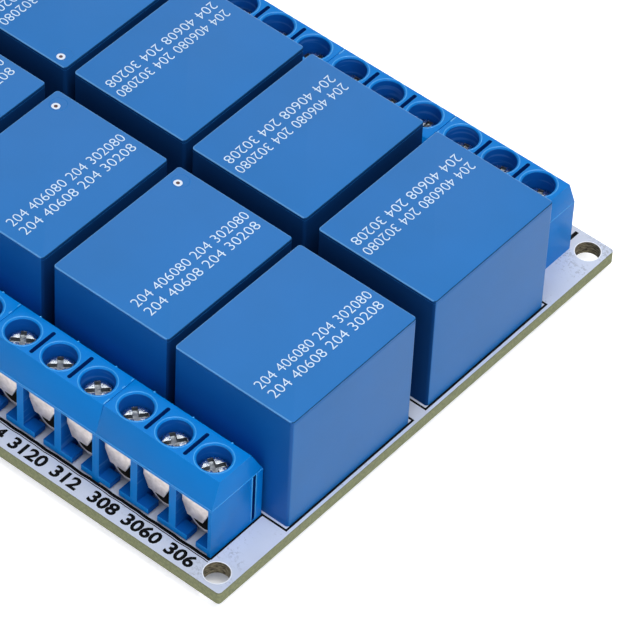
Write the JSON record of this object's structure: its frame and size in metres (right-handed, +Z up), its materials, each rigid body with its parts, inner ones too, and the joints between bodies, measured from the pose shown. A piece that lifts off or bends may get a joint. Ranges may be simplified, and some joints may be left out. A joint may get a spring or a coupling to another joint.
{
  "type": "relay module board",
  "caption": "Circuit board with two back-to-back rows of sealed relays, screw terminal blocks along both long edges and a pin header at one end.",
  "frame": {"origin": "centre of the four mounting holes, on the board's underside", "axes": "+X along the board's long edge away from the drive parts, +Y across it, +Z up through the components"},
  "size_m": [0.1, 0.0636, 0.0184],
  "materials": {
    "solder_mask": "white solder mask on glass-fibre board, semi-gloss",
    "relay_plastic": "moulded blue thermoplastic, satin",
    "relay_base": "moulded base under blue potting resin",
    "terminal_plastic": "moulded bright blue nylon, satin",
    "clamp_steel": "nickel-plated steel strip",
    "screw_steel": "zinc-plated steel",
    "tinned_copper": "tinned copper",
    "header_plastic": "moulded black nylon",
    "header_brass": "gold-flashed brass",
    "chip_plastic": "moulded black epoxy",
    "resistor_ceramic": "glazed black film on ceramic",
    "led_resin": "clear resin over a white chip carrier"
  },
  "bodies": {
    "root": {"circuit_board": "solder_mask", "relay_cover_1": "relay_plastic", "relay_base_1": "relay_base", "relay_pins_1": "tinned_copper", "terminal_block_1": "terminal_plastic", "wire_clamps_1": "clamp_steel", "relay_cover_2": "relay_plastic", "relay_base_2": "relay_base", "relay_pins_2": "tinned_copper", "terminal_block_2": "terminal_plastic", "wire_clamps_2": "clamp_steel", "relay_cover_3": "relay_plastic", "relay_base_3": "relay_base", "relay_pins_3": "tinned_copper", "terminal_block_3": "terminal_plastic", "wire_clamps_3": "clamp_steel", "relay_cover_4": "relay_plastic", "relay_base_4": "relay_base", "relay_pins_4": "tinned_copper", "terminal_block_4": "terminal_plastic", "wire_clamps_4": "clamp_steel", "relay_cover_5": "relay_plastic", "relay_base_5": "relay_base", "relay_pins_5": "tinned_copper", "terminal_block_5": "terminal_plastic", "wire_clamps_5": "clamp_steel", "relay_cover_6": "relay_plastic", "relay_base_6": "relay_base", "relay_pins_6": "tinned_copper", "terminal_block_6": "terminal_plastic", "wire_clamps_6": "clamp_steel", "relay_cover_7": "relay_plastic", "relay_base_7": "relay_base", "relay_pins_7": "tinned_copper", "terminal_block_7": "terminal_plastic", "wire_clamps_7": "clamp_steel", "relay_cover_8": "relay_plastic", "relay_base_8": "relay_base", "relay_pins_8": "tinned_copper", "terminal_block_8": "terminal_plastic", "wire_clamps_8": "clamp_steel", "power_block": "terminal_plastic", "power_clamps": "clamp_steel", "terminal_screws": "screw_steel", "terminal_pins": "tinned_copper", "input_header": "header_plastic", "header_pins": "header_brass", "optocouplers": "chip_plastic", "optocoupler_legs": "tinned_copper", "transistors": "chip_plastic", "flyback_diodes": "chip_plastic", "resistors": "resistor_ceramic", "status_leds": "led_resin"}
  },
  "joints": []
}
